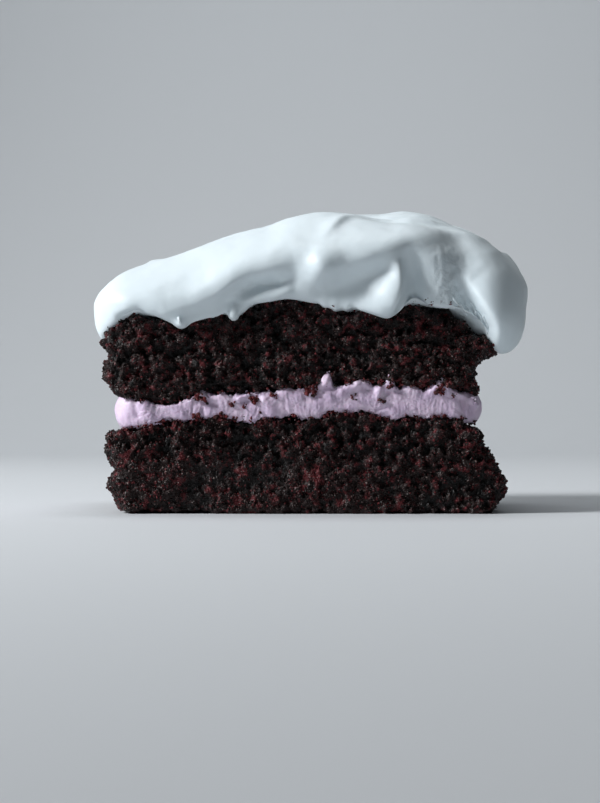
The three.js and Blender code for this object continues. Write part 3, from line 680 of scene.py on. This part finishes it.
# each torn bit of the cream: X, Z and its size
TORN = [
    (1.5, 33.2, 1.2), (7.6, 33.4, 0.7), (5.2, 35.6, 0.8), (-24.6, 31.2, 1), (-17, 29.8, 0.9),
    (-14.6, 30.6, 1), (-9.6, 30.6, 1), (12.4, 33.6, 1), (16.8, 33.2, 1), (20.6, 34.2, 1.1),
    (21.8, 33.6, 0.9), (24.6, 33, 0.8), (32, 33.4, 0.9), (34.6, 33.6, 1), (38.4, 31.8, 0.9),
    (41.6, 28.6, 1.2), (42.6, 27.8, 1), (-47, 21.6, 0.9),
]
torn = [(*nearest(front, (0, 2), (x, z))[:2], z, size) for x, z, size in TORN]
torn += [(*nearest(back, (0, 2), (-x, z))[:2], z, size) for x, z, size in TORN]
for at in chance.integers(0, wall.columns, LOOSE_BITS):
    x, y, z = band[chance.choice([2, -3]), at]
    torn.append((x, y, z, chance.uniform(0.4, 0.8)))
crumbs_at("torn_cream", torn, grain_count=3, fineness=2, finish=lilac)

# ----------------------------------------------------------------------------
# Frosting
#
# Thick whipped frosting, spread with a palette knife into rolls, hollows and
# tongues. Its skin is a smooth dollop, and each stroke of the knife pushes it
# in or out along a path.

white, tree, shader, place = material("white_frosting")
# cool white whipped frosting, satin, with light that sinks in a little
rough = add(tree, "ShaderNodeAttribute", attribute_name="rough", out="Fac")
rough = add(tree, "ShaderNodeMath", [rough, 0.6, 0.04], operation="MULTIPLY_ADD")
froth = add(tree, "ShaderNodeTexNoise", {"Vector": place, "Scale": 1.4 / MM, "Detail": 4.0})
froth = add(tree, "ShaderNodeMath", [froth, rough], operation="MULTIPLY")
soft = add(tree, "ShaderNodeTexNoise", {"Vector": place, "Scale": 0.26 / MM, "Detail": 2.0})
height = add(tree, "ShaderNodeMath", [soft, 0.12, froth], operation="MULTIPLY_ADD")
bump = add(tree, "ShaderNodeBump", {"Height": height, "Strength": 0.6, "Distance": 0.6 * MM})
fill(shader, {"Base Color": shade("#E3EEF3"), "Roughness": 0.46, "Normal": bump, "Subsurface Weight": 0.3})
fill(shader, {"Subsurface Radius": (1.0, 1.0, 1.0), "Subsurface Scale": 1.5 * MM})

# The dollop's hem, its widest line and its crest: a place along the side and a
# height. The reach is how far the widest line stands out past the sponge.
FRONT_HEM = [
    (-50, 49.4), (-35, 48.8), (-31.3, 46.9), (-28, 47.9), (-22, 49.3), (-20, 49.9), (-18.9, 49.3),
    (-17.9, 48.5), (-17.1, 49.3), (-16, 50.2), (-13, 52.5), (-2, 53.4), (3, 52.1), (4.4, 51.2), (5.8, 51.2),
    (7.4, 50.5), (8.6, 50.7), (10.4, 50.4), (11.6, 50.8), (14, 50.5), (19, 50.6), (28, 52), (38, 51.4),
    (44, 47.5), (49, 43),
]
BACK_HEM = [
    (-50, 48.5), (-43, 50.9), (-36, 50.3), (-30, 47.4), (-25, 46.8), (-20, 49.9), (-12, 51.6), (-3, 50.9),
    (0.4, 49.2), (2.4, 47.6), (4.6, 49.4), (11, 51.4), (12.6, 50), (13.8, 50.2), (17, 51.2), (23, 49.8),
    (29, 45.8), (33, 45.6), (38, 49.2), (43, 48.4), (49, 44),
]
LEFT_HEM = [(-28, 45.2), (-19, 44), (-8, 42.6), (2, 45.8), (12, 43.2), (28, 47.5)]
RIGHT_HEM = [(-28, 41.4), (-14, 41.2), (-6, 42.2), (3, 45), (13, 41.4), (28, 46)]
FRONT_WIDEST = [
    (-52, 52.6), (-42, 52.4), (-33, 52.6), (-23, 54.6), (-18, 57.2), (-14, 59.2), (-8, 60.8), (-3, 61.4),
    (2, 60), (8, 61.2), (13, 63), (20, 64.6), (28, 65), (36, 62), (45, 57), (52, 54),
]
FRONT_REACH = [(-50, 2.6), (-30, 3.2), (0, 3.8), (20, 4.6), (27, 3.2), (34, 1.8), (40, 1), (46, 3), (50, 5)]
BACK_WIDEST = [(-52, 55), (-30, 57), (-10, 60.5), (12, 58), (30, 61), (52, 55)]
CREST = [
    (-56, 59.4), (-49, 63.3), (-41, 64.4), (-34, 66.3), (-28, 68.4), (-15, 72.4), (-9, 74), (-5, 75.8),
    (1, 77.3), (9, 77.5), (14, 77.3), (20, 77), (27, 77.4), (32, 76.7), (38, 74.6), (45, 72.8), (53, 69.4),
    (59, 65.4),
]
TUCK = 5  # how far it reaches in under its hem
SHOULDER = 14  # from the sponge's face in to where the top levels out
LAST_RING = HALF_DEPTH - 1.5  # how far in from the face the skin's last ring runs
FRONT_FALL, BACK_FALL = 2.5, 5  # of the top, from the middle to the cut faces

wall = Outline(-50.5, 49.5, corner=10, columns=660)
front_hem, back_hem = curve(wall.x, *FRONT_HEM), curve(wall.x, *BACK_HEM)
hem = wall.by_side(front_hem, back_hem, curve(wall.y, *LEFT_HEM), curve(wall.y, *RIGHT_HEM))
widest = wall.by_side(curve(wall.x, *FRONT_WIDEST), curve(wall.x, *BACK_WIDEST), 52.4, 56)
reach = wall.by_side(curve(wall.x, *FRONT_REACH), 3.4, 3.6, 7)
lip = wall.by_side(1.2, 1.2, 1, 1)


def ring(distance, height):
    """A ring of the skin: its height is given, or follows from that of the top above it."""
    x, y = wall.moved(distance)
    fall = np.where(y < 0, FRONT_FALL, BACK_FALL) * (y / HALF_DEPTH) ** 2
    z = height(curve(x, *CREST) - fall) if callable(height) else height
    return np.stack([x, y, z], 1)


rows = []
for share in np.linspace(0, 1, 9)[:-1]:  # in under the hem
    rows.append(ring(-TUCK + (lip + TUCK) * share, hem - 0.9 * (1 - share) ** 2))
for turn in np.linspace(0, math.pi / 2, 22)[:-1]:  # up to the widest line
    rows.append(ring(lip + (reach - lip) * math.sin(turn), hem + (widest - hem) * (1 - math.cos(turn))))
for turn in np.linspace(0, math.pi / 2, 45)[:-1]:  # over the shoulder
    across = reach - (reach + SHOULDER) * (1 - math.cos(turn))
    rows.append(ring(across, lambda top: widest + (top - widest) * math.sin(turn)))
for inwards in np.linspace(SHOULDER, LAST_RING, 18):  # and in to the middle
    rows.append(ring(np.full(wall.columns, -inwards), lambda top: top))
dollop = np.array(rows)

STROKES = {
    "front": [
        # the roll at the upper left, which ends in an edge over the hollow under it
        [(-34, 51, 1, 6, 2), (-28, 52.4, 1.5, 6, 2), (-22.9, 54.6, 2, 6, 2.2), (-18.5, 57.8, 2.2, 6, 2.2),
         (-14, 60, 1.9, 6, 2.6), (-8, 61.8, 1.6, 6, 3), (-3, 63.4, 0.8, 6, 3)],
        [(-31, 50, -0.3, 1.6, 1.8), (-26, 50.6, -0.7, 2.4, 2.6), (-21, 51.6, -1, 2.8),
         (-17, 53.8, -1.2, 2.8, 2.2), (-13, 56, -1.9, 2.8, 1.8), (-7, 57.2, -1.8, 2.8, 1.8),
         (-4, 58.2, -1, 2.4, 2)],
        # the lip over the hem
        [(-15.5, 53.4, 0.8, 1.6, 1.4), (-12, 53.9, 1.5, 1.7, 1.4), (-8, 54.6, 1.7, 1.7, 1.4),
         (-5, 55.4, 0.9, 1.6, 1.4)],
        # a notch in the hem, and two drips at the left
        [(-46, 49.4, -0.8, 0.9, 1.6), (-41.8, 50.1, -1.5, 1.5, 2)],
        [(-31.2, 49.2, 0.2, 1.6), (-30.9, 47.6, 1, 1.3, 1.2)],
        [(-17.6, 52.4, 0.2, 1.8, 1.3), (-18.2, 49.8, 1.2, 1.5, 1.2)],
        # the knob in the middle, and the hollow right of it
        [(5.4, 67, 1.1, 6, 5.4), (4.4, 64, 2.2, 5.2, 5), (3.8, 62.2, 2.5, 4.4, 4.2)],
        [(5, 55.2, -1.2, 2.4, 4), (9, 56.2, -2.1, 3.8, 5), (14, 57.8, -2.1, 3.6, 4.4),
         (18.8, 60, -1.2, 2.6, 2.2)],
        # the roll over the hollow
        [(5, 61.4, 0.8, 5, 3), (12.8, 63.8, 1.3, 5, 3.4), (20, 65.8, 1.2, 5, 3.4), (28, 68.5, 0.8, 5, 3.4),
         (34, 71, 0.5, 4, 3)],
        # the tongue, steep at its right, and the valley beside it
        [(22.9, 60.8, 1.6, 1.2, 1.8), (22.8, 57.5, 3, 1.3, 3.6), (21.8, 53.6, 3.6, 1.5, 5.2),
         (20.5, 51.8, 2.8, 1.8, 5.5)],
        [(25.6, 64, -1, 2.2), (26.4, 59, -2.4, 2.6, 2.4), (27, 53, -2.4, 2.8, 2.6)],
        # a rough swelling, and the curl at the corner
        [(32.6, 63, 0.9, 3.6, 4), (34.4, 54, 1, 3.6, 4)],
        [(38, 56, -0.8, 2), (41.5, 51.5, -1.6, 2), (45, 46.5, -1.4, 1.8)],
        [(41, 57.6, 0.9, 4, 1.3), (44, 53, 2.6, 6, 1.4), (46.8, 48, 3.2, 7, 1.5), (48.6, 43, 2.2, 7, 1.5)],
        # a fold that runs up over the shoulder
        [(5.4, 70, 0.3, 2.2, 1.4), (7, 72.4, 0.8, 2.6, 1.4), (9, 74.2, 0.9, 2.6, 1.4),
         (10.5, 75.5, 0.4, 2.2, 1.4)],
    ],
    "top": [
        # the crease before the peak, the peak, and the swirl left of it
        [(12, -16, -0.5, 4), (20, -17, -2.2, 3, 6), (32, -17, -2.2, 3, 6), (40, -15, -0.6, 4)],
        [(12, -9, -0.5, 1.8, 2), (18, -11.5, -1.6, 1.8, 2), (31, -12, -1.6, 1.6, 2), (37, -11, -0.3, 2)],
        [(13, -2, 0.2, 3), (27, -4, 0.7, 3.2), (35, -6, 0.2, 3)],
        # long sweeps of the knife behind it, each with a steep side
        [(-38, 0, 0.3, 5, 2), (-26, 4, 1.6, 5, 1.7), (-10, 7, 2.2, 5, 1.6), (6, 12, 2, 5, 1.6),
         (17, 19, 0.6, 4, 2)],
        [(-34, 15, -0.8, 2, 4), (-22, 17, -2.4, 1.8, 5), (-8, 20, -2.2, 1.8, 5), (6, 22, -0.8, 2, 4)],
        [(4, 3, -0.3, 2, 3), (14, 5, -1.2, 1.8, 4), (25, 10, -2, 1.8, 4.5), (33, 18, -1.2, 2, 4)],
        [(20, 6, 0.4, 3, 2), (31, 9, 1.6, 4, 1.6), (41, 6, 2, 4, 1.6), (47, -2, 1.4, 4, 1.6),
         (46, -11, 0.4, 3, 2)],
        [(-45, -12, 0.2, 1.6, 3), (-41, -2, 1, 1.6, 4), (-42, 9, 1.6, 1.6, 4), (-35, 18, 1, 1.8, 4)],
    ],
    "back": [
        # two folds under the crest, three drips and two hollows between them
        [(-44, 56, 0.6, 1.8, 5), (-34, 58, 1.8, 1.6, 6), (-22, 61, 2.2, 1.7, 6), (-10, 64, 1.6, 2, 6),
         (0, 66, 0.5, 3, 5)],
        [(8, 65, 0.5, 2, 5), (20, 66, 1.6, 1.8, 5), (32, 65, 1.8, 1.8, 5), (42, 61, 0.8, 2, 4)],
        [(-34, 54, 2, 4, 3), (-26, 50, 2.6, 4, 3)],
        [(0, 60, 2, 5, 2.4), (3, 50, 3, 5, 2.4)],
        [(26, 62, 2, 5.5, 3), (28, 49, 3.2, 5.5, 3)],
        [(-14, 56, -2.4, 4.5), (-11, 61, -2, 4.5)],
        [(15, 55, -2.4, 4), (16, 62, -2, 4)],
    ],
    "right": [
        # two swellings, the hollow between them, and a fold over them
        [(-8, 60, 1, 5, 4), (-6, 46, 1.6, 5, 4)],
        [(10, 62, 1, 4, 6), (14, 47, 1.8, 4, 6)],
        [(2, 54, -1.4, 3.5), (2, 46, -1.4, 3.5)],
        [(-16, 63, 0.5, 3, 5), (-6, 65, 1.8, 1.8, 6), (6, 63, 2, 1.7, 6), (16, 59, 0.8, 1.8, 5)],
    ],
    "left": [
        # a swelling, a hollow, and a fold over them
        [(6, 56, 1, 5, 4), (9, 47, 1.6, 5, 4)],
        [(-8, 52, -1.2, 4), (-7, 47, -1, 3.5)],
        [(-15, 56, 0.4, 1.8, 4), (-5, 57.6, 1.4, 1.6, 4), (7, 57, 1.5, 1.6, 4), (17, 54, 0.6, 2, 4)],
    ],
}
out = facing(dollop)
lift = sum(pressed(dollop, out, side, knots) for side, strokes in STROKES.items() for knots in strokes)
dollop = dollop + out * lift[..., None]

# where the knife left it rough and full of small bubbles: a place, and how far round it
ROUGH = [
    (-14, -27, 58.5, 4), (-7, -27, 59, 3.4), (34, -27, 61, 5), (35.5, -27, 55, 4), (41, -28, 50, 3.5),
    (-12, 30, 57, 5), (17, 30, 58, 5), (54, 4, 52, 5), (-54, -8, 54, 4), (-20, 20, 70, 5),
]
rough = sum(np.exp(-(((dollop - (x, y, z)) ** 2).sum(-1)) / radius**2) for x, y, z, radius in ROUGH)

sizes = {"Swell": 9 * MM, "Swell Height": 0.8 * MM, "Ridge": 3 * MM, "Ridge Height": 0.14 * MM}
sizes |= {"Bubble": 1.3 * MM, "Bubble Depth": 0.3 * MM, "Mess Height": 1 * MM}
whip_tree, given, made = new_tree("whipped_skin", sizes)
tree = whip_tree
position = add(tree, "GeometryNodeInputPosition")
swell, ridges = (waves(tree, position, given, name, 1.0) for name in ("Swell", "Ridge"))
lift = add(tree, "ShaderNodeMath", [swell, ridges], operation="ADD")
scale = add(tree, "ShaderNodeMath", [1.0, given["Bubble"]], operation="DIVIDE")
bubbles = add(tree, "ShaderNodeTexVoronoi", {"Vector": position, "Scale": scale}, feature="SMOOTH_F1")
bubbles = add(tree, "ShaderNodeMapRange", [bubbles, 0.15, 0.5, -1.0, 0.2], **SMOOTH)
bubbles = add(tree, "ShaderNodeMath", [bubbles, given["Bubble Depth"]], operation="MULTIPLY")
mess = [unevenness(tree, position, 0.45 / MM, 3.0), given["Mess Height"], bubbles]
mess = add(tree, "ShaderNodeMath", mess, operation="MULTIPLY_ADD")
rough_here = add(tree, "GeometryNodeInputNamedAttribute", ["rough"])
mess = add(tree, "ShaderNodeMath", [mess, rough_here], operation="MULTIPLY")
lift = add(tree, "ShaderNodeMath", [lift, mess], operation="ADD")
whipped = add(tree, "GeometryNodeSetPosition", {"Geometry": given["Geometry"], "Offset": lifted(tree, lift)})
tree.links.new(whipped, made[0])

frosting = grown(skin("frosting_swirls", dollop, rough=rough), whip_tree, {})
frosting.data.materials.append(white)
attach(frosting, "root")
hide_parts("frosting")


def at_front(x, z, out=0.0):
    """The point of the front of the frosting at this place, or over its hem where there is none."""
    return x, nearest(dollop[dollop[..., 1] < -20], (0, 2), (x, z))[1] - out, z


# crumbs that the knife has left along the hem: X, Z and their size
AT_HEM = [
    (25.6, 52.4, 0.8), (27.2, 53.2, 1.1), (28.4, 52.6, 0.9), (30, 53.4, 0.7), (31.2, 52.5, 1.2),
    (33.4, 52.8, 0.8), (35.8, 52.4, 1), (38, 52.2, 0.8), (-5, 53.6, 0.6), (7, 51.8, 0.6), (12, 51, 0.7),
]
crumbs_at("hem_crumbs", [(*at_front(x, z), size) for x, z, size in AT_HEM])

# torn strings of frosting between the curl and the hem: the X and Z of their points
STRINGS = [
    [(38.4, 52.6), (39.4, 51), (40.1, 49.8), (40.6, 48.9)],
    [(39.8, 52.4), (40.9, 51), (42.1, 50.2), (42.9, 50.6)],
    [(41.2, 52.8), (42.2, 51.2), (42.4, 49.6), (42, 48.6)],
    [(42.6, 50.8), (43.6, 49.4), (44.2, 47.8), (44.1, 46.9)],
    [(44.2, 49.4), (45.1, 47.6), (45.6, 46), (45.2, 45)],
    [(-31.6, 49), (-31.3, 47.8), (-30.7, 46.8)],
    [(36.6, 54), (37.6, 52.6), (38.6, 52), (39.9, 52.1)],
]
sizes = {"Thickness": 0.5 * MM, "Least": 0.1 * MM, "Material": white}
string_tree, given, made = new_tree("torn_strings", sizes)
tree = string_tree
path = add(tree, "GeometryNodeMeshToCurve", {"Mesh": given["Geometry"]})
path = add(tree, "GeometryNodeCurveSplineType", {"Curve": path}, spline_type="CATMULL_ROM")
path = add(tree, "GeometryNodeResampleCurve", {"Curve": path, "Count": 24})
along = add(tree, "GeometryNodeSplineParameter", out="Factor")
taper = add(tree, "ShaderNodeMath", [along, -0.9, 1.3], operation="MULTIPLY_ADD")
knots = unevenness(tree, add(tree, "GeometryNodeInputPosition"), 1.3 / MM, 1.0)
width = add(tree, "ShaderNodeMath", [knots, 2.2, taper], operation="MULTIPLY_ADD")
width = add(tree, "ShaderNodeMath", [width, given["Thickness"]], operation="MULTIPLY")
width = add(tree, "ShaderNodeMath", [width, given["Least"]], operation="MAXIMUM")
section = add(tree, "GeometryNodeCurvePrimitiveCircle", {"Resolution": 10, "Radius": 0.5})
tube = {"Curve": path, "Profile Curve": section, "Scale": width, "Fill Caps": True}
end_tree(tree, add(tree, "GeometryNodeCurveToMesh", tube), given, made)
points, edges = [], []
for string in STRINGS:
    edges += [(len(points) + i, len(points) + i + 1) for i in range(len(string) - 1)]
    points += [at_front(x, z, 0.15) for x, z in string]
strings = grown(drawn("torn_strings", points, edges), string_tree, {})
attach(strings, "root")

# ----------------------------------------------------------------------------
# Stage, camera and light
#
# A plain pale floor that curves up into its backdrop, a level camera before
# the cut face, and soft light from the upper left. The camera's place is in
# millimetres, as the slice is, and those of the floor and lamps in metres.

paper, _, shader, _ = material("pale_floor")
# matt pale grey paper
fill(shader, {"Base Color": shade("#D8DBDE"), "Roughness": 0.8})
HALF_WIDTH = 20.0  # of the floor, so that no edge of it shows from any side
BEND_START, BEND = 0.45, 0.35
profile = [(-HALF_WIDTH, 0.0), (BEND_START, 0.0)]
for turn in np.linspace(0.1, math.pi / 2, 14):
    profile.append((BEND_START + BEND * math.sin(turn), BEND * (1 - math.cos(turn))))
profile.append((BEND_START + BEND, 2.0))
mesh = bpy.data.meshes.new("floor")
strips = [(2 * i, 2 * i + 1, 2 * i + 3, 2 * i + 2) for i in range(len(profile) - 1)]
mesh.from_pydata([(x, y, z) for y, z in profile for x in (-HALF_WIDTH, HALF_WIDTH)], [], strips)
mesh.materials.append(paper)
mesh.shade_smooth()
floor = in_scene("floor", mesh)
floor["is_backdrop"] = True

CAMERA_DISTANCE, CAMERA_HEIGHT, CAMERA_SHIFT = 467.5, 28.1, -1.5
lens = bpy.data.cameras.new("camera")
lens.sensor_fit, lens.sensor_height = "VERTICAL", 36
lens.lens = 78.9
lens.clip_start = 0.01
camera = in_scene("camera", lens)
camera.location = MIDDLE + np.array([CAMERA_SHIFT, -CAMERA_DISTANCE, CAMERA_HEIGHT]) * MM
camera.rotation_euler = (math.pi / 2, 0, 0)
bpy.context.scene.camera = camera


def lamp(name, place, size, watts, colour, target=(0, 0, 0.04), spread=math.pi):
    """A square soft lamp that faces a target, the slice unless another is given."""
    data = bpy.data.lights.new(name, "AREA")
    data.size, data.energy, data.color, data.spread = size, watts, colour, spread
    light = in_scene(name, data)
    light.location = place
    light.rotation_euler = (Vector(target) - Vector(place)).to_track_quat("-Z", "Y").to_euler()


lamp("key", (-0.99, -0.3, 0.61), size=0.3, watts=4.1, colour=(0.96, 0.98, 1.0), spread=math.radians(90))
lamp("fill", (0.6, -0.7, 0.35), size=0.8, watts=0.12, colour=(0.93, 0.97, 1.0))
lamp("backdrop", (0, 0.2, 0.9), size=0.5, watts=3.0, colour=(0.95, 0.98, 1.0), target=(0, 0.8, 0.2))
world = bpy.data.worlds.new("studio")
world.use_nodes = True
fill(world.node_tree.nodes["Background"], {"Color": (0.9, 0.95, 1.0, 1), "Strength": 0.04})
bpy.context.scene.world = world
bpy.context.scene.view_settings.view_transform = "Standard"

lowest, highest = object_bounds()
sizes = {"cad": [list(cad_lowest), list(cad_highest)], "visual": [list(lowest), list(highest)]}
